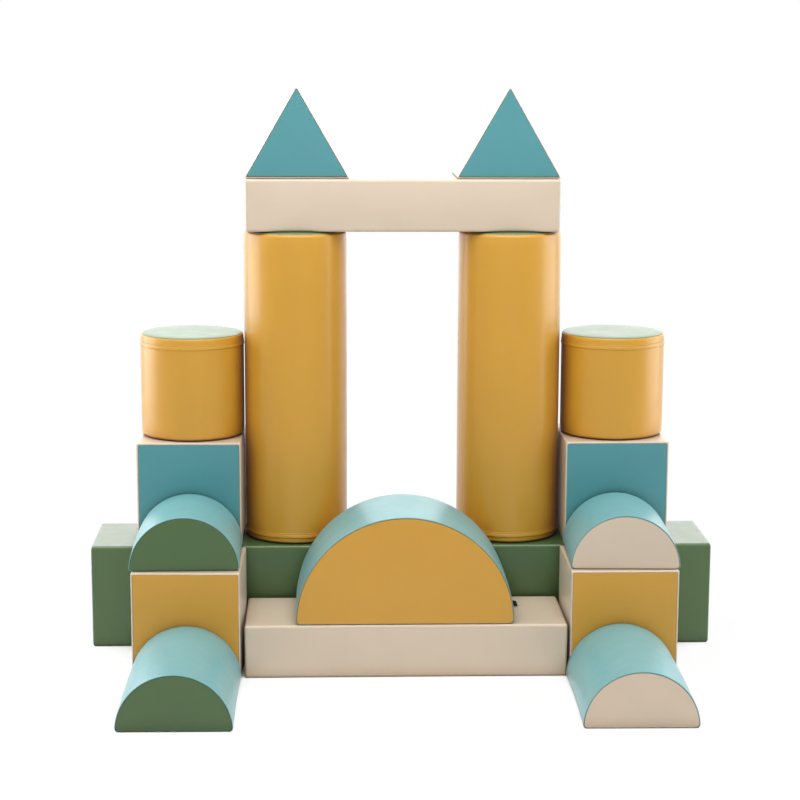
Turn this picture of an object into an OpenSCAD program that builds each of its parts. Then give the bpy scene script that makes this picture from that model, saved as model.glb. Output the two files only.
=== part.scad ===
// Castle of giant soft building blocks: foam cores in sewn covers, stacked loose
// Millimetres, +Z up, X across the castle, Y from its front to its back
// Origin: on the floor under the middle of the castle

/* [Cubes] */
// Width of a cube
cube_w = 300; // [200:1:400]
// Height of a cube
cube_h = 300; // [200:1:400]
// Depth of a cube, front panel to back panel
cube_d = 300; // [200:1:400]

/* [Beams] */
// Length of the long base beam
base_l = 1798; // [1500:1:2400]
// Height of the base beam
base_h = 298; // [200:1:400]
// Depth of the base beam
base_d = 300; // [200:1:400]
// Length of the lintel and of the plinth
beam_l = 894; // [700:1:1100]
// Height of the lintel and of the plinth
beam_h = 149; // [100:1:200]
// Depth of the lintel and of the plinth
beam_d = 300; // [200:1:400]

/* [Round blocks] */
// Diameter of a column
column_d = 292; // [200:1:360]
// Height of a column
column_h = 902; // [600:1:1200]
// Diameter of a drum
drum_d = 298; // [200:1:360]
// Height of a drum
drum_h = 297; // [200:1:400]

/* [Roofs and half rounds] */
// Side of a roof's triangle, measured to its sharp corners
roof_side = 298; // [200:1:380]
// Depth of a roof
roof_d = 300; // [200:1:400]
// Radius of the arch block
arch_r = 302; // [200:1:400]
// Depth of the arch block
arch_d = 300; // [200:1:400]
// Radius of a half round
half_r = 151; // [100:1:190]
// Length of the upper half rounds
short_half_l = 300; // [200:1:400]
// Length of the lower half rounds
long_half_l = 446; // [300:1:600]

/* [Covers] */
// Thickness of the coated cover cloth
skin = 1.2; // [0.8:0.1:2]
// Radius of the rolled edges of the beams
beam_roll = 7; // [4:0.5:15]
// Radius of the rolled edges of the cubes and roofs
cube_roll = 5; // [4:0.5:15]
// Radius of the rolled edges of the columns and drums
round_roll = 4; // [4:0.5:15]
// Radius of the rolled edges of the half rounds and the arch
half_roll = 4; // [3:0.5:10]
// Radius of the lower corners of the half rounds and the arch
half_corner = 10; // [6:0.5:20]
// Flat strip of sleeve between a rolled edge and its seam
hem_flat = 1; // [0.5:0.1:4]
// Groove at the seam between a sleeve and an end panel
seam = 0.8; // [0.4:0.1:2]
// Corner radius of the end panels
panel_corner = 2; // [1:0.1:3]
// Rise of a drum's top panel at its middle
cap_crown = 4; // [1:0.1:12]

/* [Zip bands and tag] */
// Height of the hem band over a zip
band_h = 14; // [8:0.5:25]
// Distance from the block's end to the band
band_from_end = 18; // [10:0.5:40]
// Thickness of the band
band_t = 0.9; // [0.5:0.1:2]
// Radius of the two beads along the band's edges
bead_r = 1.7; // [1:0.1:3]
// Length of the tag along the seam
tag_l = 45; // [20:1:80]
// How far the tag stands out of the seam
tag_w = 11; // [6:0.5:20]
// Thickness of the folded tag
tag_t = 1.4; // [0.8:0.1:3]
// Distance from the arch's front to the tag's middle
tag_from_front = 195; // [50:1:250]
// Droop of the tag below level
tag_droop = 20; // [0:1:30]

/* [Stacking] */
// Clear width of the gate between the columns
gate_w = 330; // [250:1:450]
// Middle of the gate, measured from the middle of the base
gate_x = 3; // [-20:1:20]
// Gap between a column and the tower beside it
tower_gap = 5; // [4:0.5:30]
// Gap between the base and the blocks in front of it
base_gap = 14; // [4:0.5:40]
// Gap between the plinth and the cubes at its ends
plinth_gap = 7; // [3:0.5:30]
// Blue cubes behind the base's front
blue_setback = 15; // [0:1:60]
// Columns behind the base's front
column_setback = 17; // [0:1:60]
// Lintel behind the base's front
lintel_setback = 43; // [0:1:90]
// Roofs behind the lintel's front
roof_setback = 15; // [0:1:60]
// Roofs beyond the lintel's ends
roof_overhang = -1; // [-20:1:20]
// Arch behind the plinth's front
arch_setback = 6; // [3:0.5:30]
// Drums behind the middle of their cubes
drum_setback = 12; // [-30:1:30]
// Gap between an upper half round and the cube behind it
half_gap = 8; // [3:0.5:30]
// Gap between a lower half round and the cube behind it
step_gap = 2; // [1:0.5:30]

/* [Hand placing] */
// Sideways shift of the left drum on its cube
left_drum_x = 3; // [-8:0.5:20]
// Sideways shift of the right drum on its cube
right_drum_x = 3; // [-8:0.5:20]
// Turn of the left mustard cube
left_cube_turn = -1.4; // [-3:0.1:3]
// Sideways shift of the arch on the plinth
arch_x = -3; // [-30:0.5:30]
// Sideways shift of the left upper half round
left_upper_x = -9; // [-30:0.5:30]
// Turn of the left upper half round
left_upper_turn = 0.3; // [-6:0.1:6]
// Sideways shift of the right upper half round
right_upper_x = 12; // [-30:0.5:30]
// Turn of the right upper half round
right_upper_turn = -1.8; // [-6:0.1:6]
// Sideways shift of the left lower half round
left_lower_x = -3; // [-30:0.5:30]
// Turn of the left lower half round
left_lower_turn = -0.5; // [-6:0.1:6]
// Sideways shift of the right lower half round
right_lower_x = -9; // [-30:0.5:30]
// Turn of the right lower half round
right_lower_turn = -0.8; // [-6:0.1:6]

/* [Hidden] */
$fn = 96;

// Colours of the cover cloth and of what is inside
mustard = "#C99A48";
teal = "#5C9FA6";
sky = "#8FC3C9";
green = "#5B7A52";
sage = "#CBD6C6";
cream = "#D8C7AF";
foam_white = "#EFEBDD";
tag_black = "#1D1B18";

// Clearance between stacked blocks
seat_gap = 0.3;
// Clearance between the foam and its cover, and under a band or tag
fit = 0.2;
// Overrun of cuts
over = 1;
// How far a corner's arc stands past the side that it runs into
tuck = 0.03;
// Bands of a crowned panel from its middle to its rim
crown_bands = 6;

// Sizes of the box blocks as [width, depth, height], the end panels across the depth
cube_size = [cube_w, cube_d, cube_h];
base_size = [base_d, base_l, base_h];
beam_size = [beam_d, beam_l, beam_h];

// An equilateral triangle's height, and how far a rounded corner draws in its base
tri_rise_share = sqrt(3) / 2;
corner_draw_share = sqrt(3) - 1;
roof_corner = cube_roll;
roof_w = roof_side - 2 * roof_corner * corner_draw_share;

// Heights of the seats
base_top = base_h + seat_gap;
cube_top = cube_h + seat_gap;
plinth_top = beam_h + seat_gap;
blue_top = base_top + cube_h + seat_gap;
lintel_z = base_top + column_h + seat_gap;
roof_z = lintel_z + beam_h + seat_gap;

// Places across the castle
column_x = gate_w / 2 + column_d / 2;
drum_reach = drum_d / 2 + bead_r + max(abs(left_drum_x), abs(right_drum_x));
tower_x = gate_w / 2 + column_d + tower_gap + max(cube_w / 2, drum_reach);
cube_x = beam_l / 2 + plinth_gap + cube_w / 2;
roof_x = beam_l / 2 + roof_overhang - roof_w / 2;

// Places from front to back, measured from the base's front
cube_y = -base_gap - cube_d / 2;
plinth_y = -base_gap - beam_d / 2;
arch_y = plinth_y - beam_d / 2 + arch_setback + arch_d / 2;
blue_y = blue_setback + cube_d / 2;
drum_y = blue_y + drum_setback;
column_y = column_setback + column_d / 2;
lintel_y = lintel_setback + beam_d / 2;
roof_y = lintel_setback + roof_setback + roof_d / 2;
front_line = -base_gap - max(cube_d, beam_d);
function upper_y(turn) = blue_setback - half_gap - half_r * abs(sin(turn));
function lower_y(turn) = front_line - step_gap - half_r * abs(sin(turn));

// The castle's front and back, which put the origin under its middle
function lower_reach(turn) = (long_half_l - half_roll) * cos(turn) + (half_r - half_roll) * abs(sin(turn));
function lower_front(turn) = lower_y(turn) - lower_reach(turn) - half_roll;
castle_front = min(lower_front(left_lower_turn), lower_front(right_lower_turn));
castle_back = max(base_d, blue_setback + cube_d, roof_y + roof_d / 2, lintel_y + beam_d / 2);
origin_y = -(castle_front + castle_back) / 2;

// Stands a block at a place, turned about its own upright axis
module place(at, turn = 0) {
  translate([at.x, at.y + origin_y, at.z]) rotate([0, 0, turn]) children();
}

// Outlines

module rounded_rect(a, b, r) {
  square([a, b - 2 * r], center = true);
  square([a - 2 * r, b], center = true);
  for (sx = [-1, 1], sy = [-1, 1])
    translate([sx * (a / 2 - r), sy * (b / 2 - r)]) circle(r);
}

// Half disc about the origin with its flat side at a height and rounded lower corners
module half_outline(radius, flat, corner) {
  rise = flat + corner;
  reach = sqrt(pow(radius - corner + tuck, 2) - pow(rise, 2));
  shoulder = rise * radius / (radius - corner);
  intersection() {
    circle(radius);
    translate([-radius, shoulder]) square([2 * radius, radius]);
  }
  translate([-reach, flat]) square([2 * reach, rise]);
  for (sx = [-1, 1]) translate([sx * reach, rise]) circle(corner);
}

// Equilateral triangle with rounded corners, standing on a height
module roof_outline(side, foot, corner) {
  reach = side / 2 - corner * sqrt(3);
  top = side * tri_rise_share - 2 * corner;
  lean = [(corner - tuck) * tri_rise_share, (corner - tuck) / 2];
  translate([0, foot]) {
    for (sx = [-1, 1]) translate([sx * reach, corner]) circle(corner);
    translate([0, top]) circle(corner);
    polygon([
      [-reach, tuck], [reach, tuck],
      [reach + lean.x, corner + lean.y], [lean.x, top + lean.y],
      [-lean.x, top + lean.y], [-reach - lean.x, corner + lean.y]
    ]);
  }
}

// Solids with every edge rolled, drawn in by an inset all over

module box_solid(size, roll, inset) {
  w = size.x - 2 * inset;
  d = size.y - 2 * inset;
  h = size.z - 2 * inset;
  r = roll - inset;
  translate([0, 0, size.z / 2]) intersection() {
    linear_extrude(h, center = true) rounded_rect(w, d, r);
    rotate([90, 0, 0]) linear_extrude(d, center = true) rounded_rect(w, h, r);
    rotate([90, 0, 90]) linear_extrude(w, center = true) rounded_rect(d, h, r);
  }
}

module round_profile(d, h, r) {
  intersection() {
    rounded_rect(d, h, r);
    translate([0, -h]) square([d, 2 * h]);
  }
}

module round_solid(d, h, inset) {
  translate([0, 0, h / 2]) rotate_extrude()
    round_profile(d - 2 * inset, h - 2 * inset, round_roll - inset);
}

module half_solid(radius, length, inset) {
  d = length - 2 * inset;
  r = half_roll - inset;
  tall = 2 * radius;
  intersection() {
    rotate([90, 0, 0]) linear_extrude(d, center = true)
      half_outline(radius - inset, inset, half_corner - inset);
    rotate([90, 0, 0]) rotate_extrude() round_profile(2 * (radius - inset), d, r);
    translate([0, 0, inset + radius]) rotate([90, 0, 90]) linear_extrude(tall, center = true)
      rounded_rect(d, tall, r);
  }
}

module roof_solid(inset) {
  side = roof_side - 4 * tri_rise_share * inset;
  d = roof_d - 2 * inset;
  tall = 2 * roof_side;
  middle = roof_side * tri_rise_share / 3;
  slab_z = inset - tuck + tall / 2 - middle;
  intersection() {
    rotate([90, 0, 0]) linear_extrude(d, center = true)
      roof_outline(side, inset, roof_corner - inset);
    intersection_for (face = [0, 120, 240])
      translate([0, 0, middle]) rotate([0, face, 0]) translate([0, 0, slab_z])
        rotate([90, 0, 90]) linear_extrude(tall, center = true)
          rounded_rect(d, tall, roof_corner - inset);
  }
}

// Foam cores

module box_foam(size, roll) box_solid(size, roll, skin + fit);
module round_foam(d, h) round_solid(d, h, skin + fit);
module half_foam(radius, length) half_solid(radius, length, skin + fit);
module roof_foam() roof_solid(skin + fit);

// Sleeves: the cloth strip sewn round a block, rolled over both rims as far as the seams

module box_sleeve(size, roll) {
  hem = roll + hem_flat;
  difference() {
    box_solid(size, roll, 0);
    box_solid(size, roll, skin);
    translate([0, 0, size.z / 2]) rotate([90, 0, 0]) linear_extrude(size.y + 2 * over, center = true)
      rounded_rect(size.x - 2 * hem, size.z - 2 * hem, panel_corner);
  }
}

module round_sleeve(d, h) {
  hem = round_roll + hem_flat;
  difference() {
    round_solid(d, h, 0);
    round_solid(d, h, skin);
    translate([0, 0, -over]) cylinder(h + 2 * over, d = d - 2 * hem);
  }
}

module half_sleeve(radius, length) {
  hem = half_roll + hem_flat;
  difference() {
    half_solid(radius, length, 0);
    half_solid(radius, length, skin);
    rotate([90, 0, 0]) linear_extrude(length + 2 * over, center = true)
      half_outline(radius - hem, hem, half_corner - half_roll);
  }
}

module roof_sleeve() {
  hem = roof_corner + hem_flat;
  difference() {
    roof_solid(0);
    roof_solid(skin);
    rotate([90, 0, 0]) linear_extrude(roof_d + 2 * over, center = true)
      roof_outline(roof_side - 4 * tri_rise_share * hem, hem, panel_corner);
  }
}

// End panels: two sheets of cloth set into the sleeve's hems

module both_ends(length) {
  for (sy = [-1, 1])
    translate([0, sy * (length - skin) / 2, 0]) rotate([90, 0, 0]) linear_extrude(skin, center = true) children();
}

module box_ends(size, roll) {
  draw = 2 * (roll + hem_flat + seam);
  both_ends(size.y) translate([0, size.z / 2]) rounded_rect(size.x - draw, size.z - draw, panel_corner);
}

module flat_cap(d) cylinder(skin, d = d - 2 * (round_roll + hem_flat + seam));

module crowned_cap(d) {
  r = d / 2 - round_roll - hem_flat - seam;
  rim_shares = [for (band = [crown_bands:-1:0]) band / crown_bands];
  rotate_extrude() polygon([
    [0, 0], [r, 0],
    for (share = rim_shares) [r * share, skin + cap_crown * (1 - share * share)]
  ]);
}

module column_ends() {
  flat_cap(column_d);
  translate([0, 0, column_h - skin]) flat_cap(column_d);
}

module drum_ends() {
  flat_cap(drum_d);
  translate([0, 0, drum_h - skin]) crowned_cap(drum_d);
}

module half_ends(radius, length) {
  draw = half_roll + hem_flat + seam;
  both_ends(length) half_outline(radius - draw, draw, half_corner - half_roll);
}

module roof_ends() {
  draw = roof_corner + hem_flat + seam;
  both_ends(roof_d) roof_outline(roof_side - 4 * tri_rise_share * draw, draw, panel_corner);
}

// Zip band: a flat hem round the block with a bead along each edge
module zip_band(d) {
  inner = d / 2 + fit;
  rotate_extrude() difference() {
    union() {
      translate([0, bead_r]) square([inner + band_t, band_h - 2 * bead_r]);
      for (z = [bead_r, band_h - bead_r]) translate([inner, z]) circle(bead_r);
    }
    translate([0, -over]) square([inner, band_h + 2 * over]);
  }
}

// Base beam, its length turned across the castle
module base_at() place([0, base_d / 2, 0], 90) children();
module base_foam() color(foam_white) base_at() box_foam(base_size, beam_roll);
module base_sleeve() color(green) base_at() box_sleeve(base_size, beam_roll);
module base_ends() color(green) base_at() box_ends(base_size, beam_roll);

// Columns on the base, their zip bands at the foot
module column_at(side, z = 0) place([gate_x + side * column_x, column_y, base_top + z]) children();
module left_column_foam() color(foam_white) column_at(-1) round_foam(column_d, column_h);
module left_column_sleeve() color(mustard) column_at(-1) round_sleeve(column_d, column_h);
module left_column_ends() color(sage) column_at(-1) column_ends();
module left_column_zip_band() color(mustard) column_at(-1, band_from_end) zip_band(column_d);
module right_column_foam() color(foam_white) column_at(1) round_foam(column_d, column_h);
module right_column_sleeve() color(mustard) column_at(1) round_sleeve(column_d, column_h);
module right_column_ends() color(sage) column_at(1) column_ends();
module right_column_zip_band() color(mustard) column_at(1, band_from_end) zip_band(column_d);

// Lintel across the columns
module lintel_at() place([0, lintel_y, lintel_z], 90) children();
module lintel_foam() color(foam_white) lintel_at() box_foam(beam_size, beam_roll);
module lintel_sleeve() color(cream) lintel_at() box_sleeve(beam_size, beam_roll);
module lintel_ends() color(cream) lintel_at() box_ends(beam_size, beam_roll);

// Roofs on the lintel's ends
module roof_at(side) place([side * roof_x, roof_y, roof_z]) children();
module left_roof_foam() color(foam_white) roof_at(-1) roof_foam();
module left_roof_sleeve() color(cream) roof_at(-1) roof_sleeve();
module left_roof_ends() color(teal) roof_at(-1) roof_ends();
module right_roof_foam() color(foam_white) roof_at(1) roof_foam();
module right_roof_sleeve() color(cream) roof_at(1) roof_sleeve();
module right_roof_ends() color(teal) roof_at(1) roof_ends();

// Blue cubes on the base beside the columns
module blue_cube_at(side) place([gate_x + side * tower_x, blue_y, base_top]) children();
module left_blue_cube_foam() color(foam_white) blue_cube_at(-1) box_foam(cube_size, cube_roll);
module left_blue_cube_sleeve() color(cream) blue_cube_at(-1) box_sleeve(cube_size, cube_roll);
module left_blue_cube_ends() color(teal) blue_cube_at(-1) box_ends(cube_size, cube_roll);
module right_blue_cube_foam() color(foam_white) blue_cube_at(1) box_foam(cube_size, cube_roll);
module right_blue_cube_sleeve() color(cream) blue_cube_at(1) box_sleeve(cube_size, cube_roll);
module right_blue_cube_ends() color(teal) blue_cube_at(1) box_ends(cube_size, cube_roll);

// Drums on the blue cubes, their zip bands at the top
band_up = drum_h - band_from_end - band_h;
module drum_at(side, shift, z = 0) place([gate_x + side * tower_x + shift, drum_y, blue_top + z]) children();
module left_drum_foam() color(foam_white) drum_at(-1, left_drum_x) round_foam(drum_d, drum_h);
module left_drum_sleeve() color(mustard) drum_at(-1, left_drum_x) round_sleeve(drum_d, drum_h);
module left_drum_ends() color(sage) drum_at(-1, left_drum_x) drum_ends();
module left_drum_zip_band() color(mustard) drum_at(-1, left_drum_x, band_up) zip_band(drum_d);
module right_drum_foam() color(foam_white) drum_at(1, right_drum_x) round_foam(drum_d, drum_h);
module right_drum_sleeve() color(mustard) drum_at(1, right_drum_x) round_sleeve(drum_d, drum_h);
module right_drum_ends() color(sage) drum_at(1, right_drum_x) drum_ends();
module right_drum_zip_band() color(mustard) drum_at(1, right_drum_x, band_up) zip_band(drum_d);

// Mustard cubes on the floor in front of the base
module mustard_cube_at(side, turn = 0) place([side * cube_x, cube_y, 0], turn) children();
module left_mustard_cube_foam() color(foam_white) mustard_cube_at(-1, left_cube_turn) box_foam(cube_size, cube_roll);
module left_mustard_cube_sleeve() color(cream) mustard_cube_at(-1, left_cube_turn) box_sleeve(cube_size, cube_roll);
module left_mustard_cube_ends() color(mustard) mustard_cube_at(-1, left_cube_turn) box_ends(cube_size, cube_roll);
module right_mustard_cube_foam() color(foam_white) mustard_cube_at(1) box_foam(cube_size, cube_roll);
module right_mustard_cube_sleeve() color(cream) mustard_cube_at(1) box_sleeve(cube_size, cube_roll);
module right_mustard_cube_ends() color(mustard) mustard_cube_at(1) box_ends(cube_size, cube_roll);

// Upper half rounds on the mustard cubes, turned about the middle of their back ends
module upper_half_at(side, shift, turn) {
  place([side * cube_x + shift, upper_y(turn), cube_top], turn) translate([0, -short_half_l / 2, 0]) children();
}
module left_upper_at() upper_half_at(-1, left_upper_x, left_upper_turn) children();
module left_upper_half_foam() color(foam_white) left_upper_at() half_foam(half_r, short_half_l);
module left_upper_half_sleeve() color(sky) left_upper_at() half_sleeve(half_r, short_half_l);
module left_upper_half_ends() color(green) left_upper_at() half_ends(half_r, short_half_l);
module right_upper_at() upper_half_at(1, right_upper_x, right_upper_turn) children();
module right_upper_half_foam() color(foam_white) right_upper_at() half_foam(half_r, short_half_l);
module right_upper_half_sleeve() color(sky) right_upper_at() half_sleeve(half_r, short_half_l);
module right_upper_half_ends() color(cream) right_upper_at() half_ends(half_r, short_half_l);

// Lower half rounds on the floor in front of the mustard cubes, turned the same way
module lower_half_at(side, shift, turn) {
  place([side * cube_x + shift, lower_y(turn), 0], turn) translate([0, -long_half_l / 2, 0]) children();
}
module left_lower_at() lower_half_at(-1, left_lower_x, left_lower_turn) children();
module left_lower_half_foam() color(foam_white) left_lower_at() half_foam(half_r, long_half_l);
module left_lower_half_sleeve() color(sky) left_lower_at() half_sleeve(half_r, long_half_l);
module left_lower_half_ends() color(green) left_lower_at() half_ends(half_r, long_half_l);
module right_lower_at() lower_half_at(1, right_lower_x, right_lower_turn) children();
module right_lower_half_foam() color(foam_white) right_lower_at() half_foam(half_r, long_half_l);
module right_lower_half_sleeve() color(sky) right_lower_at() half_sleeve(half_r, long_half_l);
module right_lower_half_ends() color(cream) right_lower_at() half_ends(half_r, long_half_l);

// Plinth on the floor between the mustard cubes
module plinth_at() place([0, plinth_y, 0], 90) children();
module plinth_foam() color(foam_white) plinth_at() box_foam(beam_size, beam_roll);
module plinth_sleeve() color(cream) plinth_at() box_sleeve(beam_size, beam_roll);
module plinth_ends() color(cream) plinth_at() box_ends(beam_size, beam_roll);

// Arch block on the plinth, with a plain tag at the foot of its right side
module arch_at() place([arch_x, arch_y, plinth_top]) children();
module arch_foam() color(foam_white) arch_at() half_foam(arch_r, arch_d);
module arch_sleeve() color(sky) arch_at() half_sleeve(arch_r, arch_d);
module arch_ends() color(mustard) arch_at() half_ends(arch_r, arch_d);
module arch_tag() {
  corner_x = sqrt(pow(arch_r - half_corner, 2) - pow(half_corner, 2));
  color(tag_black) arch_at()
    translate([corner_x, tag_from_front - arch_d / 2, half_corner]) rotate([0, tag_droop, 0])
      translate([half_corner + fit, -tag_l / 2, -tag_t / 2]) cube([tag_w, tag_l, tag_t]);
}

base_foam();
base_sleeve();
base_ends();
left_column_foam();
left_column_sleeve();
left_column_ends();
left_column_zip_band();
right_column_foam();
right_column_sleeve();
right_column_ends();
right_column_zip_band();
lintel_foam();
lintel_sleeve();
lintel_ends();
left_roof_foam();
left_roof_sleeve();
left_roof_ends();
right_roof_foam();
right_roof_sleeve();
right_roof_ends();
left_blue_cube_foam();
left_blue_cube_sleeve();
left_blue_cube_ends();
right_blue_cube_foam();
right_blue_cube_sleeve();
right_blue_cube_ends();
left_drum_foam();
left_drum_sleeve();
left_drum_ends();
left_drum_zip_band();
right_drum_foam();
right_drum_sleeve();
right_drum_ends();
right_drum_zip_band();
left_mustard_cube_foam();
left_mustard_cube_sleeve();
left_mustard_cube_ends();
right_mustard_cube_foam();
right_mustard_cube_sleeve();
right_mustard_cube_ends();
left_upper_half_foam();
left_upper_half_sleeve();
left_upper_half_ends();
right_upper_half_foam();
right_upper_half_sleeve();
right_upper_half_ends();
left_lower_half_foam();
left_lower_half_sleeve();
left_lower_half_ends();
right_lower_half_foam();
right_lower_half_sleeve();
right_lower_half_ends();
plinth_foam();
plinth_sleeve();
plinth_ends();
arch_foam();
arch_sleeve();
arch_ends();
arch_tag();
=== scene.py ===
import math

import bmesh
import bpy
from mathutils import Matrix, Vector, noise
from mathutils.kdtree import KDTree


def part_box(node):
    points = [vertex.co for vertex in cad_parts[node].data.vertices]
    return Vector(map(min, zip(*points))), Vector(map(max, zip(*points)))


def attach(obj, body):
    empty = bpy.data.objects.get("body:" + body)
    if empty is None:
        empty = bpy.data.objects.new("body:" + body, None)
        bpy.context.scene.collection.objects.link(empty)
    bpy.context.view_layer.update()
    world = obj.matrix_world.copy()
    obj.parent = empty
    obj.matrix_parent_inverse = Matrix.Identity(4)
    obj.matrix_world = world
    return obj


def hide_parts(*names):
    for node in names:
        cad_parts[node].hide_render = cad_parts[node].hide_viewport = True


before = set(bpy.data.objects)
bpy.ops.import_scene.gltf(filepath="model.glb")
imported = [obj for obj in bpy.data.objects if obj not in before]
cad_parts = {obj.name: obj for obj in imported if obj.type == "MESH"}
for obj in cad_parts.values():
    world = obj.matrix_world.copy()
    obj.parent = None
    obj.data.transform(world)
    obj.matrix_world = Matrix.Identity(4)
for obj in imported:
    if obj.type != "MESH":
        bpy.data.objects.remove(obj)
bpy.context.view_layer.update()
mm = 0.001
print("frame loaded,", len(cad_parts), "nodes")


# Nodes and colours

def fromHex(code):
    srgb = [int(code[i:i + 2], 16) / 255 for i in (1, 3, 5)]
    linear = [c / 12.92 if c <= 0.04045 else ((c + 0.055) / 1.055) ** 2.4 for c in srgb]
    return (*linear, 1.0)


def addNode(tree, kind, sockets=None, **settings):
    node = tree.nodes.new(kind)
    for key, value in settings.items():
        setattr(node, key, value)
    for key, value in (sockets or {}).items():
        if isinstance(value, bpy.types.NodeSocket):
            tree.links.new(value, node.inputs[key])
        else:
            node.inputs[key].default_value = value
    return node


def newMaterial(name):
    material = bpy.data.materials.new(name)
    material.use_nodes = True
    material.node_tree.nodes.clear()
    return material, material.node_tree


def mapRange(tree, value, first, last, low=0.0, high=1.0):
    node = addNode(tree, "ShaderNodeMapRange", {"Value": value, "From Min": first, "From Max": last,
                                                "To Min": low, "To Max": high})
    return node.outputs["Result"]


def multiply(tree, first, second):
    return addNode(tree, "ShaderNodeMath", {0: first, 1: second}, operation="MULTIPLY").outputs["Value"]


# Embossed PU leather: a knitted backing with a coloured polyurethane coat that was rolled with a fine pebble.
# The coat is satin, so flat faces look dull and faces seen along their surface mirror the white room.
leather = {
    "mustard": "#D59D31",
    "teal": "#4D949B",
    # the teal cloth again, drawn lighter: a painted sheen on the curved wraps of the half rounds and the arch
    "sky": "#71ACB1",
    "green": "#42622F",
    # the green cloth again, drawn paler: a painted sheen on the end panels of the columns and drums
    "sage": "#63815D",
    "cream": "#DAC7B1",
    "pebble": 1.6 * mm,       # drawn a little coarser than real, so that it shows close up
    "pebbleDepth": 0.05 * mm,
    "dent": 48 * mm,          # soft unevenness of the cloth over the foam
    "dentDepth": 0.25 * mm,
    "drift": 140 * mm,        # slow change of shade from one place to the next
    "driftShade": 0.97,
    "roughness": 0.46,
    "roughSpread": 0.04,
    "ior": 1.48,
    "specular": 0.42,
    # clear top coat that takes the sharper shine, by colour
    "coat": {"mustard": 0.5, "teal": 0.5, "sky": 0.3, "green": 0.75, "sage": 0.5, "cream": 0.5},
    "coatRoughness": 0.24,
    "bloom": 0.1,             # pale light that the pebble scatters along the surface
    "bloomRoughness": 0.35,
    "seamReach": 1.8 * mm,    # how far the painted shade of a seam reaches
    # colour share at the seam itself, a painted shade for the seam's groove
    "seamShade": 0.25,
    "gapReach": 80 * mm,      # how far off another block the painted shade reaches on the cloth
    "gapTint": "#B7A183",     # warm colour of the painted shade where blocks stand close together
    "gapDark": 0.1,           # openness up to which that shade is full
    "gapOpen": 0.6,           # openness from which there is none
    "gapDull": 0.4,           # openness under which the cloth is drawn rougher, a painted shade on its shine
    "noiseSpan": (0.3, 0.7),  # the part of a noise that is used, from low to high
}


def makeLeather(colour):
    material, tree = newMaterial("embossedPuLeather" + colour.capitalize())
    place = addNode(tree, "ShaderNodeTexCoord").outputs["Object"]
    drift = addNode(tree, "ShaderNodeTexNoise", {"Vector": place, "Scale": 1 / leather["drift"],
                                                 "Detail": 2.0}).outputs["Fac"]
    pebble = addNode(tree, "ShaderNodeTexVoronoi", {"Vector": place, "Scale": 1 / leather["pebble"]},
                     feature="SMOOTH_F1").outputs["Distance"]
    dent = addNode(tree, "ShaderNodeTexNoise", {"Vector": place, "Scale": 1 / leather["dent"],
                                                "Detail": 1.0}).outputs["Fac"]
    seam = addNode(tree, "ShaderNodeAttribute", attribute_name="seamGap").outputs["Fac"]
    # painted shade: ambient occlusion from nearby blocks darkens the colour and dims the shine in gaps
    openness = addNode(tree, "ShaderNodeAmbientOcclusion", {"Distance": leather["gapReach"]},
                       samples=4).outputs["AO"]
    openShare = mapRange(tree, openness, leather["gapDark"], leather["gapOpen"])
    # painted seam shade beside each seam, times a slow random change of tone
    shade = multiply(tree, mapRange(tree, seam, 0.0, leather["seamReach"], leather["seamShade"], 1.0),
                     mapRange(tree, drift, *leather["noiseSpan"], leather["driftShade"], 1.0))
    shaded = addNode(tree, "ShaderNodeVectorMath", {0: fromHex(leather[colour])[:3], "Scale": shade},
                     operation="SCALE").outputs["Vector"]
    # painted shade between blocks, white where open, to multiply into the colour
    # sockets 0, 6 and 7 of a Mix node are its share and its two colours, and output 2 is the mixed colour
    tint = addNode(tree, "ShaderNodeMix", {0: openShare, 6: fromHex(leather["gapTint"]), 7: (1, 1, 1, 1)},
                   data_type="RGBA").outputs[2]
    tinted = addNode(tree, "ShaderNodeVectorMath", {0: shaded, 1: tint},
                     operation="MULTIPLY").outputs["Vector"]
    rough = mapRange(tree, dent, *leather["noiseSpan"], leather["roughness"] - leather["roughSpread"],
                     leather["roughness"] + leather["roughSpread"])
    # painted shade on the shine: the cloth turns fully rough where blocks stand close
    dull = mapRange(tree, openness, 0.0, leather["gapDull"], 1.0, rough)
    dents = addNode(tree, "ShaderNodeBump", {"Height": dent,
                                             "Distance": leather["dentDepth"]}).outputs["Normal"]
    grain = addNode(tree, "ShaderNodeBump", {"Height": pebble, "Distance": leather["pebbleDepth"],
                                             "Normal": dents}).outputs["Normal"]
    shader = addNode(tree, "ShaderNodeBsdfPrincipled", {
        "Base Color": tinted, "Roughness": dull, "IOR": leather["ior"],
        "Specular IOR Level": leather["specular"],
        # the coat's shine is painted out by the same shade between blocks
        "Coat Weight": multiply(tree, openShare, leather["coat"][colour]),
        "Coat Roughness": leather["coatRoughness"],
        "Sheen Weight": leather["bloom"], "Sheen Roughness": leather["bloomRoughness"],
        "Normal": grain, "Coat Normal": grain})
    addNode(tree, "ShaderNodeOutputMaterial", {"Surface": shader.outputs["BSDF"]})
    return material


# Cut polyurethane foam: an open cell slab, off white and quite dull, with the pores of the saw cut
foamLook = {
    "colour": "#EFEBDD",
    "pore": 1.2 * mm,
    "poreDepth": 0.4 * mm,
    "roughness": 0.95,
}


def makeFoamMaterial():
    material, tree = newMaterial("cutPolyurethaneFoam")
    place = addNode(tree, "ShaderNodeTexCoord").outputs["Object"]
    pore = addNode(tree, "ShaderNodeTexVoronoi", {"Vector": place, "Scale": 1 / foamLook["pore"]})
    bump = addNode(tree, "ShaderNodeBump", {"Height": pore.outputs["Distance"],
                                            "Distance": foamLook["poreDepth"]})
    shader = addNode(tree, "ShaderNodeBsdfPrincipled", {
        "Base Color": fromHex(foamLook["colour"]), "Roughness": foamLook["roughness"],
        "Normal": bump.outputs["Normal"]})
    addNode(tree, "ShaderNodeOutputMaterial", {"Surface": shader.outputs["BSDF"]})
    return material


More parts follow.
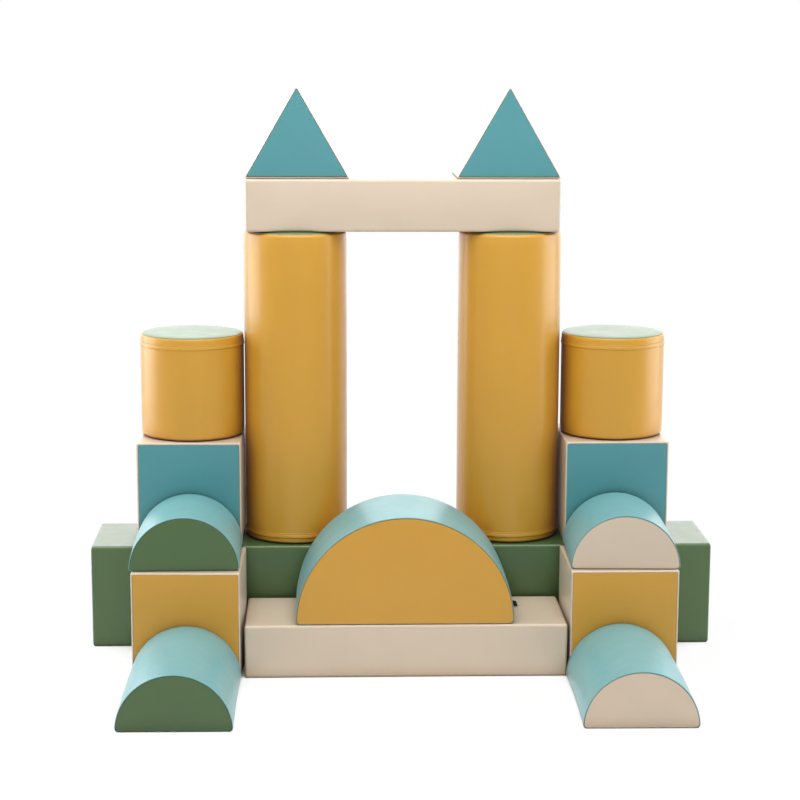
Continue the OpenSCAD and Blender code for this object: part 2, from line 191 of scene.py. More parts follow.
# Woven polyester ribbon: a plain black weave with a dull silky shine along its threads
ribbon = {
    "colour": "#12110F",
    "thread": 0.9 * mm,       # one radian of the weave, drawn coarser than real threads
    "threadDepth": 0.08 * mm,
    "roughness": 0.6,
    "specular": 0.2,
}


def makeRibbonMaterial():
    material, tree = newMaterial("wovenPolyesterRibbon")
    place = addNode(tree, "ShaderNodeTexCoord").outputs["Object"]
    # a wave of scale 1 turns through 20 radians in a metre
    weft = addNode(tree, "ShaderNodeTexWave", {"Vector": place, "Scale": 1 / (20 * ribbon["thread"])},
                   bands_direction="Y")
    bump = addNode(tree, "ShaderNodeBump", {"Height": weft.outputs["Fac"],
                                            "Distance": ribbon["threadDepth"]})
    shader = addNode(tree, "ShaderNodeBsdfPrincipled", {
        "Base Color": fromHex(ribbon["colour"]), "Roughness": ribbon["roughness"],
        "Specular IOR Level": ribbon["specular"], "Normal": bump.outputs["Normal"]})
    addNode(tree, "ShaderNodeOutputMaterial", {"Surface": shader.outputs["BSDF"]})
    return material


leathers = {c: makeLeather(c) for c in ("mustard", "teal", "sky", "green", "sage", "cream")}
foamMaterial = makeFoamMaterial()
ribbonMaterial = makeRibbonMaterial()
print("materials made")


# Covers: an outline carried from seam to seam, rolled over both rims, with a panel sewn into each end

sewing = {
    "cloth": 1.2 * mm,        # thickness of the cover cloth
    "seamDepth": 1.0 * mm,    # how far a seam is drawn in
    "seamWidth": 0.8 * mm,    # from the seam to where the cloth is level again
    "seamHidden": 2.2 * mm,   # painted shade left out of a tight seam
    "seamLip": (0.3, 0.4),    # shares of depth and width at which the cloth turns out of a seam
    "cell": 7 * mm,           # mesh spacing along a seam
    "run": 16 * mm,           # mesh spacing from rim to rim
    "firstRun": 3 * mm,       # mesh spacing beside a seam or rim, which then grows
    "runGrowth": 1.5,
    "panelRings": 0.85,       # share of a panel that is made of rings, the rest is a fan
    "rollSteps": 5,
    "crownPower": 14,         # a crowned panel rises near its seam and is almost flat from there on
    "pucker": 0.35 * mm,      # depth of the gathers beside a seam
    "puckerReach": 11 * mm,
    "puckerWave": 17 * mm,
    "puckerDrift": 50 * mm,   # how slowly a gather changes away from its seam
    "puckerShift": 7.3,       # what sets the gathers of one block off from the next
    "slack": 0.25 * mm,       # depth of the slow hollows all over
    "slackWave": 85 * mm,
    "slackShift": 3.1,
    "foamInset": 6 * mm,      # the foam stays this far inside its cover
    "foamCell": 30 * mm,
    "coreBevel": 0.3,         # where the bevel of a plain core lies, as a share of its roll
}

# Swelling of the covers over the foam, by a cloth simulation on a plainer mesh of each form
swelling = {
    "cell": 22 * mm,
    "frames": 14,
    "pressure": 4.0,
    "near": 6,                # points of the plain mesh that carry one point of the cover
}


def addOutline(bm, arcs, cell):
    ends = []
    for x, z, radius, first, last in arcs:
        start = bm.verts.new((x + radius * math.cos(first), 0, z + radius * math.sin(first)))
        steps = max(3, math.ceil(radius * (last - first) / cell))
        spun = bmesh.ops.spin(bm, geom=[start], cent=(x, 0, z), axis=(0, -1, 0), angle=last - first,
                              steps=steps, use_merge=False, use_duplicate=False)
        ends.append((start, next(g for g in spun["geom_last"] if isinstance(g, bmesh.types.BMVert))))
    for (_, stop), (start, _) in zip(ends, ends[1:] + ends[:1]):
        bm.edges.new((stop, start))
    bmesh.ops.remove_doubles(bm, verts=bm.verts[:], dist=0.1 * mm)
    for edge in bm.edges[:]:
        cuts = math.ceil(edge.calc_length() / cell) - 1
        if cuts > 0:
            bmesh.ops.subdivide_edges(bm, edges=[edge], cuts=cuts)
    return bm.edges[:]


def ringMatrix(form, y, inset):
    centre = Vector((0, 0, form["middle"]))
    shrink = Matrix.Diagonal((1 - inset / form["reachX"], 1, 1 - inset / form["reachZ"], 1))
    return Matrix.Translation(centre + Vector((0, y, 0))) @ shrink @ Matrix.Translation(-centre)


def carryRing(bm, form, ring, stops, gap):
    y, inset, _ = stops[0]
    faces = []
    for stop in stops[1:]:
        made = bmesh.ops.extrude_edge_only(bm, edges=ring)["geom"]
        verts = [g for g in made if isinstance(g, bmesh.types.BMVert)]
        ring = [g for g in made if isinstance(g, bmesh.types.BMEdge)]
        faces += [g for g in made if isinstance(g, bmesh.types.BMFace)]
        move = ringMatrix(form, stop[0], stop[1]) @ ringMatrix(form, y, inset).inverted()
        bmesh.ops.transform(bm, matrix=move, verts=verts)
        for vert in verts:
            vert[gap] = stop[2]
        y, inset = stop[:2]
    return ring, faces


def spread(first, last, step, largest):
    places = [first]
    while places[-1] + step < last:
        places.append(places[-1] + step)
        step = min(largest, step * sewing["runGrowth"])
    return places


def rimStops(form, side):
    end = side * form["length"] / 2
    roll = form["rolls"][side]
    deep, wide = sewing["seamDepth"], sewing["seamWidth"]
    hem = roll + wide
    level = form["seamStart"]
    lipDepth, lipWidth = sewing["seamLip"]
    stops = [(end - side * deep, hem, level),
             (end - side * deep * lipDepth, hem - wide * lipWidth, level + wide)]
    for step in range(sewing["rollSteps"] + 1):
        turn = math.pi / 2 * step / sewing["rollSteps"]
        fall = form["drops"][side] * (1 - math.cos(turn))
        stops.append((end - side * fall, roll * (1 - math.sin(turn)), level + 2 * wide + roll * turn))
    return stops


def panelStops(form, side):
    end = side * form["length"] / 2
    deep, wide = sewing["seamDepth"], sewing["seamWidth"]
    hem = form["rolls"][side] + wide
    least = min(form["reachX"], form["reachZ"])
    level = form["seamStart"]
    lipDepth, lipWidth = sewing["seamLip"]
    stops = [(end - side * deep, hem, level),
             (end - side * deep * lipDepth, hem + wide * lipWidth, level + wide)]
    for inset in spread(hem + wide, sewing["panelRings"] * least, sewing["firstRun"], least):
        stops.append((end, inset, level + inset - hem))
    return stops


def sleeveStops(form):
    front, back = rimStops(form, -1), rimStops(form, 1)
    start, stop = front[-1], back[-1]
    runs = spread(0, -start[0], sewing["firstRun"], sewing["run"])[1:]
    before = [(start[0] + run, 0, start[2] + run) for run in runs]
    runs = spread(0, stop[0], sewing["firstRun"], sewing["run"])[1:]
    behind = [(stop[0] - run, 0, stop[2] + run) for run in runs]
    return front + before + [(0, 0, start[2] - start[0])] + behind[::-1] + back[::-1]


def capRing(bm, form, ring, stops, gap):
    ring, faces = carryRing(bm, form, ring, stops, gap)
    lid = bmesh.ops.contextual_create(bm, geom=ring)["faces"]
    poked = bmesh.ops.poke(bm, faces=lid)
    for vert in poked["verts"]:
        vert[gap] = stops[-1][2]
    return faces + poked["faces"]


def makeCover(form):
    bm = bmesh.new()
    gap = bm.verts.layers.float.new("seamGap")
    along = bm.verts.layers.float.new("along")
    panel = bm.faces.layers.int.new("panel")
    ring = addOutline(bm, form["arcs"], sewing["cell"])
    numberOutline(ring, along)
    stops = sleeveStops(form)
    bmesh.ops.transform(bm, matrix=ringMatrix(form, *stops[0][:2]), verts=bm.verts[:])
    for vert in bm.verts:
        vert[gap] = stops[0][2]
    last, _ = carryRing(bm, form, ring, stops, gap)
    for side, edges in ((-1, ring), (1, last)):
        for face in capRing(bm, form, edges, panelStops(form, side), gap):
            face[panel] = 1
    bmesh.ops.recalc_face_normals(bm, faces=bm.faces[:])
    return bm


def numberOutline(ring, along):
    vert, edge = ring[0].verts[0], ring[0]
    start, length = vert, 0.0
    while True:
        vert[along] = length
        length += edge.calc_length()
        vert = edge.other_vert(vert)
        if vert == start:
            return
        edge = next(e for e in vert.link_edges if e != edge)


# A plain closed mesh of a form, for the foam and for the simulation
def makeCore(form, cell, inset):
    bm = bmesh.new()
    gap = bm.verts.layers.float.new("seamGap")
    ring = addOutline(bm, form["arcs"], cell)
    half = form["length"] / 2 - inset
    roll = form["roll"]
    runs = max(2, math.ceil((2 * half - 2 * roll) / cell))
    bevel = sewing["coreBevel"] * roll
    stops = [(-half, inset + roll, 0.0), (-half + bevel, inset + bevel, 0.0)]
    stops += [(-half + roll + (2 * half - 2 * roll) * i / runs, inset, 1.0) for i in range(runs + 1)]
    stops += [(half - bevel, inset + bevel, 0.0), (half, inset + roll, 0.0)]
    bmesh.ops.transform(bm, matrix=ringMatrix(form, *stops[0][:2]), verts=bm.verts[:])
    last, _ = carryRing(bm, form, ring, stops, gap)
    least = min(form["reachX"], form["reachZ"])
    for end, edges in ((-half, ring), (half, last)):
        panel = [(end, i, 1.0) for i in spread(inset + roll, sewing["panelRings"] * least, cell, cell)]
        panel[0] = (end, inset + roll, 0.0)
        capRing(bm, form, edges, panel, gap)
    bmesh.ops.recalc_face_normals(bm, faces=bm.faces[:])
    return bm


def simulateSwell(form):
    bm = makeCore(form, swelling["cell"], 0)
    gap = bm.verts.layers.float["seamGap"]
    bm.verts.index_update()
    held = [v.index for v in bm.verts if v[gap] == 0.0]
    mesh = bpy.data.meshes.new("swell")
    bm.to_mesh(mesh)
    bm.free()
    ob = bpy.data.objects.new("swell", mesh)
    bpy.context.scene.collection.objects.link(ob)
    ob.vertex_groups.new(name="seams").add(held, 1.0, "REPLACE")
    cloth = ob.modifiers.new("swell", "CLOTH")
    cloth.settings.vertex_group_mass = "seams"
    cloth.settings.use_pressure = True
    cloth.settings.uniform_pressure_force = swelling["pressure"]
    cloth.settings.effector_weights.gravity = 0
    cloth.collision_settings.use_collision = False
    scene = bpy.context.scene
    for step in range(1, swelling["frames"] + 1):
        scene.frame_set(step)
    swollen = ob.evaluated_get(bpy.context.evaluated_depsgraph_get()).data
    moves = [(v.co.copy(), swollen.vertices[v.index].co - v.co) for v in mesh.vertices]
    scene.frame_set(1)
    bpy.data.objects.remove(ob)
    bpy.data.meshes.remove(mesh)
    return moves


def swellCover(bm, form):
    moves = simulateSwell(form)
    tree = KDTree(len(moves))
    for i, (at, _) in enumerate(moves):
        tree.insert(at, i)
    tree.balance()
    most = [max(abs(move.x) for _, move in moves), max(abs(move.y) for _, move in moves),
            max(move.z for _, move in moves)]
    print("swell of", form["name"], "moved up to", [round(m / mm, 1) for m in most], "mm before its cap")
    share = [cap / m for cap, m in zip(form["swell"], most)]
    for vert in bm.verts:
        move, total = Vector(), 0.0
        for _, i, away in tree.find_n(vert.co, swelling["near"]):
            weight = 1 / (away + mm) ** 2
            move += moves[i][1] * weight
            total += weight
        move /= total
        vert.co += Vector((move[k] * share[k] for k in range(3)))
        if form["middle"]:
            vert.co.z = max(0.0, vert.co.z)


def makeForm(name, arcs, length, look, middle, reachX, reachZ):
    form = {"name": name, "arcs": arcs, "length": length, "roll": look["roll"], "swell": look["swell"],
            "rolls": {-1: look.get("footRoll", look["roll"]), 1: look["roll"]},
            "drops": {-1: look.get("footRoll", look["roll"]), 1: look.get("drop", look["roll"])},
            # where seams show, the painted seam shade starts right at the seam
            "seamStart": 0.0 if look.get("seamShows") else sewing["seamHidden"],
            "middle": middle, "reachX": reachX, "reachZ": reachZ}
    cover = makeCover(form)
    swellCover(cover, form)
    crownPanels(cover, form, {-1: look.get("footCrown", 0.0), 1: look.get("crown", 0.0)})
    form["cover"] = cover
    form["foam"] = makeCore(form, sewing["foamCell"], sewing["foamInset"])
    print("form", name, "with", len(cover.faces), "faces")
    return form


def crownPanels(bm, form, crowns):
    layer = bm.faces.layers.int["panel"]
    for vert in bm.verts:
        side = 1 if vert.co.y > 0 else -1
        if crowns[side] and any(face[layer] for face in vert.link_faces):
            out = math.hypot(vert.co.x / form["reachX"], (vert.co.z - form["middle"]) / form["reachZ"])
            vert.co.y += side * crowns[side] * (1 - min(1.0, out) ** sewing["crownPower"])


# Gathers beside the seams and slow hollows, both drawn inwards, so that a block never grows past its foam
def gatherCloth(bm, seed):
    gap = bm.verts.layers.float["seamGap"]
    along = bm.verts.layers.float["along"]
    girth = max(v[along] for v in bm.verts)
    loopRadius = girth / (2 * math.pi * sewing["puckerWave"])
    shift = Vector((seed * sewing["slackShift"], 0, 0))
    moves = []
    for vert in bm.verts:
        turn = 2 * math.pi * vert[along] / girth
        level = seed * sewing["puckerShift"] + vert[gap] / sewing["puckerDrift"]
        at = Vector((loopRadius * math.cos(turn), loopRadius * math.sin(turn), level))
        pull = sewing["pucker"] * (0.5 + noise.noise(at)) * math.exp(-vert[gap] / sewing["puckerReach"])
        pull += sewing["slack"] * (0.5 + noise.noise(vert.co / sewing["slackWave"] + shift))
        moves.append(vert.normal * -max(0.0, pull))
    for vert, move in zip(bm.verts, moves):
        vert.co += move


def meshFrom(bm, name, matrix, panel=None):
    part = bm.copy()
    if panel is not None:
        layer = part.faces.layers.int["panel"]
        bmesh.ops.delete(part, geom=[f for f in part.faces if f[layer] != panel], context="FACES")
    for face in part.faces:
        face.smooth = True
    mesh = bpy.data.meshes.new(name)
    part.to_mesh(mesh)
    part.free()
    mesh.transform(matrix)
    return mesh


def addPiece(name, mesh, material, body, node):
    ob = bpy.data.objects.new(name, mesh)
    bpy.context.scene.collection.objects.link(ob)
    mesh.materials.append(material)
    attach(ob, body)
    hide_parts(node)
    return ob


def camel(body):
    first, *rest = body.split("_")
    return first + "".join(w.capitalize() for w in rest)


def addBlock(body, form, sleeve, ends, turn=0.0, stand=Matrix.Identity(4), seed=1):
    low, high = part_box(body + "_sleeve")
    place = Matrix.Translation(((low.x + high.x) / 2, (low.y + high.y) / 2, low.z))
    place = place @ Matrix.Rotation(math.radians(turn), 4, "Z") @ stand
    cover = form["cover"].copy()
    cover.normal_update()
    gatherCloth(cover, seed)
    name = camel(body)
    for part, panel, colour in (("Sleeve", 0, sleeve), ("Ends", 1, ends)):
        mesh = meshFrom(cover, name + part, place, panel)
        node = body + "_" + part.lower()
        ob = addPiece(name + part, mesh, leathers[colour], body, node)
        wall = ob.modifiers.new("cloth", "SOLIDIFY")
        wall.thickness = sewing["cloth"]
        wall.offset = -1
    cover.free()
    core = meshFrom(form["foam"], name + "Foam", place)
    addPiece(name + "Foam", core, foamMaterial, body, body + "_foam")


def boxSize(body):
    low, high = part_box(body + "_sleeve")
    return high - low


# Outlines as arcs of (centre x, centre z, radius, first angle, last angle)

def boxArcs(width, height, corner):
    x, low, high = width / 2 - corner, corner, height - corner
    quarter = math.pi / 2
    return [(x, low, corner, -quarter, 0), (x, high, corner, 0, quarter),
            (-x, high, corner, quarter, 2 * quarter), (-x, low, corner, 2 * quarter, 3 * quarter)]


def halfArcs(radius, corner):
    reach = math.sqrt((radius - corner) ** 2 - corner ** 2)
    meet = math.atan2(corner, reach)
    return [(reach, corner, corner, -math.pi / 2, meet), (0, 0, radius, meet, math.pi - meet),
            (-reach, corner, corner, math.pi - meet, 1.5 * math.pi)]


def roofArcs(side, corner):
    reach, top = side / 2 - corner * math.sqrt(3), side * math.sqrt(3) / 2 - 2 * corner
    sixth = math.pi / 6
    return [(reach, corner, corner, -3 * sixth, sixth), (0, top, corner, sixth, 5 * sixth),
            (-reach, corner, corner, 5 * sixth, 9 * sixth)]


def boxForm(name, body, look, along):
    size = boxSize(body)
    width, length = (size.x, size.y) if along == "Y" else (size.y, size.x)
    arcs = boxArcs(width, size.z, look["corner"])
    return makeForm(name, arcs, length, look, size.z / 2, width / 2, size.z / 2)


def halfForm(name, radius, length, look):
    middle = look["sewnDown"] * radius / 2
    return makeForm(name, halfArcs(radius, look["corner"]), length, look, middle, radius, radius / 2)


def roundForm(name, body, look):
    size = boxSize(body)
    radius = size.x / 2 + look["puff"]
    length = size.z - look["footCrown"] - look["headroom"]
    return makeForm(name, [(0, 0, radius, 0, 2 * math.pi)], length, look, 0, radius, radius)


def standUp(form, look):
    lift = Matrix.Translation((0, 0, look["footCrown"] + form["length"] / 2))
    return lift @ Matrix.Rotation(math.pi / 2, 4, "X")


# Base beam, lintel and plinth
base = {
    "roll": 7 * mm,
    "corner": 7 * mm,
    "swell": (1.8 * mm, 2.5 * mm, 0.0),
}
beams = {
    "roll": 7 * mm,
    "corner": 7 * mm,
    "swell": (1.8 * mm, 1.6 * mm, 0.0),
}
baseForm = boxForm("base", "base", base, "X")
addBlock("base", baseForm, "green", "green", 90, seed=1)
beamForm = boxForm("beam", "lintel", beams, "X")
addBlock("lintel", beamForm, "cream", "cream", 90, seed=2)
addBlock("plinth", beamForm, "cream", "cream", 90, seed=3)
print("beams made")

# Cubes with a cream wrap
cubes = {
    "roll": 4.5 * mm,
    "corner": 5 * mm,
    "swell": (3.5 * mm, 0.8 * mm, 0.0),
    "panels": {"left_blue_cube": "teal", "right_blue_cube": "teal",
               "left_mustard_cube": "mustard", "right_mustard_cube": "mustard"},
    "turns": {"left_blue_cube": -0.7, "right_blue_cube": 0.7, "left_mustard_cube": -1.4},
}
cubeForm = boxForm("cube", "left_blue_cube", cubes, "Y")
for seed, (body, colour) in enumerate(cubes["panels"].items(), 10):
    addBlock(body, cubeForm, "cream", colour, cubes["turns"].get(body, 0.0), seed=seed)
print("cubes made")

# Columns and drums, whose zips hide under a raised hem
columns = {
    "roll": 5 * mm,
    "drop": 8 * mm,           # the rim leans in over this height
    "footRoll": 6 * mm,
    "swell": (1.0 * mm, 0.0, 1.0 * mm),
    "puff": 2 * mm,           # the cloth stands this far off the foam's girth
    "crown": 7 * mm,
    "headroom": 7 * mm,       # the rim lies this far under the lintel that rests on the crown
    "footCrown": 3 * mm,
}
drums = {
    "roll": 3 * mm,
    "drop": 9 * mm,
    "footRoll": 8 * mm,
    "swell": (1.0 * mm, 0.0, 1.0 * mm),
    "puff": 0.5 * mm,
    "crown": 4 * mm,
    "headroom": 0.0,
    "footCrown": 2.5 * mm,
}
columnForm = roundForm("column", "left_column", columns)
drumForm = roundForm("drum", "left_drum", drums)
for seed, side in enumerate(("left", "right"), 20):
    addBlock(side + "_column", columnForm, "mustard", "sage", stand=standUp(columnForm, columns), seed=seed)
    addBlock(side + "_drum", drumForm, "mustard", "sage", stand=standUp(drumForm, drums), seed=seed + 5)

# Raised hem over the zip of a round block: a flap folded at its lower edge and stitched down at its upper one
hems = {
    "stand": 2.1 * mm,        # how far the fold stands out
    "height": 14 * mm,
    "tuck": 1.0 * mm,
    "steps": 300,
    "wander": 1.1 * mm,       # how far the fold strays up and down
    "wanderWave": 70 * mm,
    "gather": 0.5 * mm,
    "gatherWave": 13 * mm,
    "wanderShift": 5.7,       # what sets one hem's waviness off from the next
    "gatherShift": 9.1,
    "upperHold": 0.6,         # share of the straying that the stitched upper edge holds back
    "tuckAt": (0.05, 0.95),   # where the hidden edges lie, as shares of height
    "plainGap": 20 * mm,      # told to the leather, so that a hem has no painted seam shade
    # out from the wall and up from the fold, as shares of stand and height
    "profile": ((0.15, 0.02), (0.7, 0.0), (0.95, 0.07), (1.0, 0.18), (0.92, 0.36), (0.74, 0.56),
                (0.55, 0.72), (0.2, 0.79), (0.62, 0.85), (0.66, 0.93), (0.35, 0.99)),
}


def addHem(body, look, seed):
    low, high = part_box(body + "_zip_band")
    wall = boxSize(body).x / 2 + look["puff"]
    bm = bmesh.new()
    gap = bm.verts.layers.float.new("seamGap")
    points = [(-hems["tuck"], hems["tuckAt"][0] * hems["height"])]
    points += [(out * hems["stand"], up * hems["height"]) for out, up in hems["profile"]]
    points += [(-hems["tuck"], hems["tuckAt"][1] * hems["height"])]
    verts = [bm.verts.new((wall + out, 0, up)) for out, up in points]
    edges = [bm.edges.new(pair) for pair in zip(verts, verts[1:] + verts[:1])]
    bmesh.ops.spin(bm, geom=verts + edges, cent=(0, 0, 0), axis=(0, 0, 1), angle=2 * math.pi,
                   steps=hems["steps"], use_merge=True, use_duplicate=False)
    bmesh.ops.recalc_face_normals(bm, faces=bm.faces[:])
    for vert in bm.verts:
        flat = Vector((vert.co.x, vert.co.y, 0))
        out, up = flat.length - wall, vert.co.z / hems["height"]
        slow = noise.noise(flat / hems["wanderWave"] + Vector((0, 0, seed * hems["wanderShift"])))
        fine = noise.noise(flat / hems["gatherWave"] + Vector((0, 0, seed * hems["gatherShift"] + up)))
        vert[gap] = hems["plainGap"]
        if out > 0:
            vert.co.z += hems["wander"] * slow * (1 - hems["upperHold"] * up)
            vert.co += flat.normalized() * hems["gather"] * fine * (1 - abs(2 * up - 1))
    place = Matrix.Translation(((low.x + high.x) / 2, (low.y + high.y) / 2, low.z))
    name = camel(body) + "ZipBand"
    mesh = meshFrom(bm, name, place)
    addPiece(name, mesh, leathers["mustard"], body, body + "_zip_band")
    bm.free()


for seed, side in enumerate(("left", "right")):
    addHem(side + "_column", columns, seed)
    addHem(side + "_drum", drums, seed + 2)
print("columns and drums made")

# Roofs
roofs = {
    "side": 298 * mm,
    "roll": 2.2 * mm,
    "corner": 3 * mm,
    "sewnDown": 1.6,          # its wrap shows wider under the panel than along the slopes
    "seamShows": True,
    "swell": (1.0 * mm, 0.6 * mm, 1.0 * mm),
}
inradius = roofs["side"] / (2 * math.sqrt(3))
roofForm = makeForm("roof", roofArcs(roofs["side"], roofs["corner"]), boxSize("left_roof").y, roofs,
                    roofs["sewnDown"] * inradius, inradius, inradius)
for seed, side in enumerate(("left", "right"), 30):
    addBlock(side + "_roof", roofForm, "cream", "teal", seed=seed)
print("roofs made")

# Half rounds and the arch
halves = {
    "radius": 152 * mm,
    "shortLength": 300 * mm,
    "longLength": 446 * mm,
    "roll": 1.6 * mm,
    "sewnDown": 0.6,          # its wrap shows less under the panel than over it
    "seamShows": True,
    "corner": 10 * mm,
    "swell": (2.0 * mm, 0.6 * mm, 2.5 * mm),
    "turns": {"left_upper": 0.3, "right_upper": -1.8, "left_lower": -0.5, "right_lower": -0.8},
    "panels": {"left": "green", "right": "cream"},
}
halfForms = {"upper": halfForm("shortHalf", halves["radius"], halves["shortLength"], halves),
             "lower": halfForm("longHalf", halves["radius"], halves["longLength"], halves)}
for seed, (spot, turn) in enumerate(halves["turns"].items(), 40):
    side, level = spot.split("_")
    addBlock(spot + "_half", halfForms[level], "sky", halves["panels"][side], turn, seed=seed)
arch = {
    "radius": 303 * mm,
    "roll": 1.6 * mm,
    "sewnDown": 0.6,          # its wrap shows less under the panel than over it
    "seamShows": True,
    "corner": 10 * mm,
    "swell": (3.0 * mm, 0.8 * mm, 1.0 * mm),
}
archForm = halfForm("arch", arch["radius"], boxSize("arch").y, arch)
addBlock("arch", archForm, "sky", "mustard", seed=50)

# Plain folded tag in the seam at the foot of the arch
tag = {
    "length": 45 * mm,
    "width": 25 * mm,
    "root": 1.5 * mm,         # how much of it is sewn in
    "layer": 0.5 * mm,
    "fold": 0.7 * mm,         # radius of its folded edge
    "fromFront": 200 * mm,
    "droop": 9.0,
    "curl": 2.0 * mm,
    "evenCurl": 0.6,          # share of the curl that is the same all along
    "steps": 14,
    "widthSteps": 4,
    "foldSteps": 6,
}


def addTag():
    low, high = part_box("arch_sleeve")
    corner = arch["corner"]
    reach = math.sqrt((arch["radius"] - corner) ** 2 - corner ** 2)
    bm = bmesh.new()
    near, far, half = corner - tag["root"], corner + tag["width"] - tag["fold"], tag["length"] / 2
    count = tag["widthSteps"]
    top = [bm.verts.new((near + (far - near) * i / count, -half, tag["fold"])) for i in range(count + 1)]
    for pair in zip(top, top[1:]):
        bm.edges.new(pair)
    bent = bmesh.ops.spin(bm, geom=[top[-1]], cent=(far, -half, 0), axis=(0, 1, 0), angle=math.pi,
                          steps=tag["foldSteps"], use_merge=False, use_duplicate=False)
    below = next(g for g in bent["geom_last"] if isinstance(g, bmesh.types.BMVert))
    for i in range(count):
        grown = bmesh.ops.extrude_vert_indiv(bm, verts=[below])
        below = grown["verts"][0]
        bmesh.ops.translate(bm, vec=((near - far) / count, 0, 0), verts=[below])
    ring = bm.edges[:]
    for step in range(tag["steps"]):
        made = bmesh.ops.extrude_edge_only(bm, edges=ring)["geom"]
        ring = [g for g in made if isinstance(g, bmesh.types.BMEdge)]
        bmesh.ops.translate(bm, vec=(0, tag["length"] / tag["steps"], 0),
                            verts=[g for g in made if isinstance(g, bmesh.types.BMVert)])
    for vert in bm.verts:
        out = (vert.co.x - near) / (far - near)
        even = tag["evenCurl"]
        vert.co.z -= tag["curl"] * out * out * (even + (1 - even) * math.cos(vert.co.y / half))
    bmesh.ops.recalc_face_normals(bm, faces=bm.faces[:])
    place = Matrix.Translation(((low.x + high.x) / 2 + reach, low.y + tag["fromFront"], low.z + corner))
    place = place @ Matrix.Rotation(math.radians(tag["droop"]), 4, "Y")
    mesh = meshFrom(bm, "archTag", place)
    ob = addPiece("archTag", mesh, ribbonMaterial, "arch", "arch_tag")
    bm.free()
    wall = ob.modifiers.new("ribbon", "SOLIDIFY")
    wall.thickness = tag["layer"]
    wall.offset = -1


addTag()
print("half rounds and arch made")


# Floor and light
stage = {
    "floorSize": 60.0,
    "floorColour": "#F4F4F2",
    "floorGlow": 0.95,        # how much of the white that the camera sees is the floor's own
    "shadowFrom": 1.0,        # from this far out the floor turns to plain white
    "shadowReach": 2.2,       # beyond this far out it is plain white
    "worldColour": "#FFFFFF",
    "worldLight": 0.3,
    "frontShine": 0.12,       # how bright the floor before the object looks in the shine of the cloth
    "shineFrom": -2.5,        # depth up to which the floor is that dim there
    "shineTo": -0.5,          # depth from which it is white there
    "gapReach": 0.2,          # floor this close to blocks on several sides lies in their shade
    "gapDark": 0.15,          # openness up to which that shade is full
    "gapOpen": 0.5,           # openness from which there is none
}


# The camera, shine and clear things see plain white
def whiteShare(tree, path, shine):
    seen = path.outputs["Is Camera Ray"]
    for ray in (path.outputs["Is Transmission Ray"], shine):
        seen = addNode(tree, "ShaderNodeMath", {0: seen, 1: ray}, operation="MAXIMUM").outputs["Value"]
    return seen


# The floor is dimmer before the object, so that fronts stay clear, and dark in the gaps between blocks
def makeFloor():
    material, tree = newMaterial("paleStudioFloor")
    path = addNode(tree, "ShaderNodeLightPath")
    place = addNode(tree, "ShaderNodeTexCoord").outputs["Object"]
    depth = addNode(tree, "ShaderNodeSeparateXYZ", {"Vector": place}).outputs["Y"]
    shine = mapRange(tree, depth, stage["shineFrom"], stage["shineTo"], stage["frontShine"], 1.0)
    seen = whiteShare(tree, path, multiply(tree, path.outputs["Is Glossy Ray"], shine))
    away = addNode(tree, "ShaderNodeVectorMath", {0: place}, operation="LENGTH").outputs["Value"]
    glowHere = mapRange(tree, away, stage["shadowFrom"], stage["shadowReach"], stage["floorGlow"], 1.0)
    openness = addNode(tree, "ShaderNodeAmbientOcclusion", {"Distance": stage["gapReach"]}, samples=8)
    openShare = mapRange(tree, openness.outputs["AO"], stage["gapDark"], stage["gapOpen"])
    share = multiply(tree, seen, multiply(tree, glowHere, openShare))
    matt = addNode(tree, "ShaderNodeBsdfDiffuse", {"Color": fromHex(stage["floorColour"])})
    glow = addNode(tree, "ShaderNodeEmission", {"Color": (1, 1, 1, 1), "Strength": 1.0})
    mix = addNode(tree, "ShaderNodeMixShader", {"Fac": share, 1: matt.outputs["BSDF"],
                                                2: glow.outputs["Emission"]})
    addNode(tree, "ShaderNodeOutputMaterial", {"Surface": mix.outputs["Shader"]})
    bm = bmesh.new()
    bmesh.ops.create_grid(bm, x_segments=1, y_segments=1, size=stage["floorSize"] / 2)
    mesh = bpy.data.meshes.new("floor")
    bm.to_mesh(mesh)
    bm.free()
    mesh.materials.append(material)
    floor = bpy.data.objects.new("floor", mesh)
    bpy.context.scene.collection.objects.link(floor)


def makeWorld():
    world = bpy.data.worlds.new("whiteRoom")
    bpy.context.scene.world = world
    world.use_nodes = True
    tree = world.node_tree
    tree.nodes.clear()
    path = addNode(tree, "ShaderNodeLightPath")
    seen = whiteShare(tree, path, path.outputs["Is Glossy Ray"])
    strength = mapRange(tree, seen, 0.0, 1.0, stage["worldLight"], 1.0)
    back = addNode(tree, "ShaderNodeBackground", {"Color": fromHex(stage["worldColour"]),
                                                  "Strength": strength})
    addNode(tree, "ShaderNodeOutputWorld", {"Surface": back.outputs["Background"]})


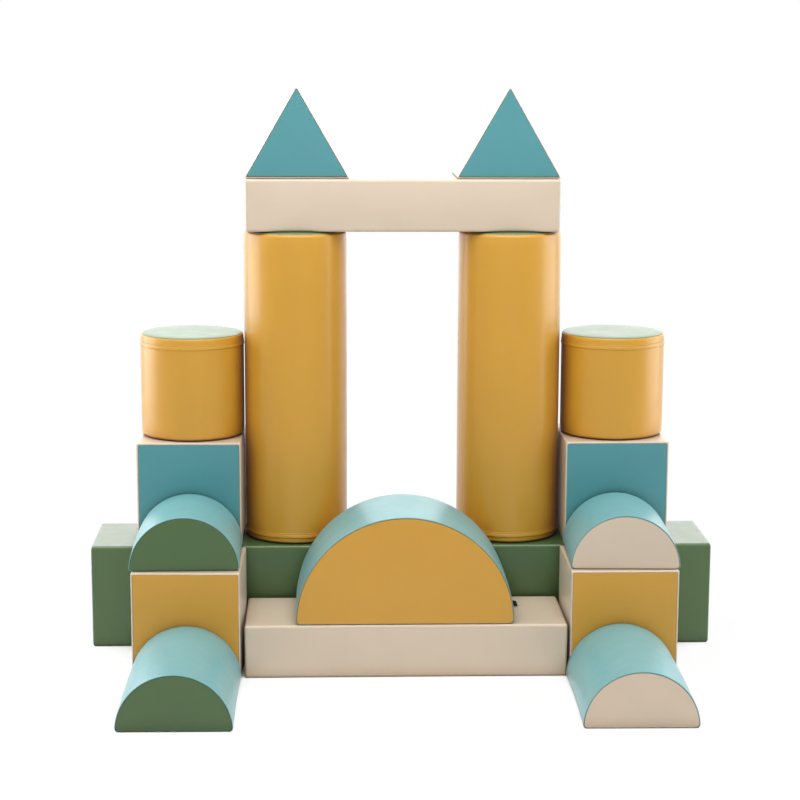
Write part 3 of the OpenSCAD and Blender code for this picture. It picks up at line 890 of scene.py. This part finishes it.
lamps = {
    "overhead": {"at": (-0.6, -0.4, 4.4), "aim": (-0.3, 0, 0.6), "size": (5.0, 4.0), "power": 106},
    "near": {"at": (0, -1.2, 3.0), "aim": (0, -0.1, 0.6), "size": (3.0, 2.0), "power": 43},
    "left": {"at": (-3.6, 1.3, 1.4), "aim": (0, 0.3, 0.9), "size": (2.6, 2.6), "power": 77},
    "right": {"at": (3.6, 0.7, 1.4), "aim": (0, 0.3, 0.9), "size": (2.6, 2.6), "power": 61},
    "behind": {"at": (0, 5.0, 1.8), "aim": (0, 0, 0.9), "size": (9.0, 3.0), "power": 84},
    "front": {"at": (-0.2, -7.0, 1.3), "aim": (0, 0, 1.2), "size": (6.0, 0.8), "power": 11},
}


def makeLamp(name, look):
    data = bpy.data.lights.new(name, "AREA")
    data.shape = "RECTANGLE"
    data.size, data.size_y = look["size"]
    data.energy = look["power"]
    ob = bpy.data.objects.new(name, data)
    ob.location = look["at"]
    ob.rotation_euler = (Vector(look["aim"]) - Vector(look["at"])).to_track_quat("-Z", "Y").to_euler()
    bpy.context.scene.collection.objects.link(ob)


# Camera where the photograph was taken from, in a frame of 800 by 800 pixels
camera = {
    "at": (-0.2199, -5.6622, 1.7538),
    "pitch": 10.558,
    "yaw": -2.062,
    "roll": -0.202,
    "focal": 2086.0,
    "frame": 800,
    "middleRow": 422.5,
    "sensor": 36.0,
    "seesTo": 200.0,
}


def makeCamera():
    data = bpy.data.cameras.new("camera")
    data.sensor_width = camera["sensor"]
    data.lens = camera["focal"] * camera["sensor"] / camera["frame"]
    data.shift_y = (camera["middleRow"] - camera["frame"] / 2) / camera["frame"]
    data.clip_end = camera["seesTo"]
    ob = bpy.data.objects.new("camera", data)
    pitch, yaw, roll = (math.radians(camera[k]) for k in ("pitch", "yaw", "roll"))
    ob.matrix_world = (Matrix.Translation(camera["at"]) @ Matrix.Rotation(yaw, 4, "Z")
                       @ Matrix.Rotation(math.pi / 2 - pitch, 4, "X") @ Matrix.Rotation(-roll, 4, "Z"))
    bpy.context.scene.collection.objects.link(ob)
    bpy.context.scene.camera = ob


makeFloor()
makeWorld()
for name, look in lamps.items():
    makeLamp(name, look)
makeCamera()
bpy.context.scene.view_settings.view_transform = "Standard"
print("stage made")
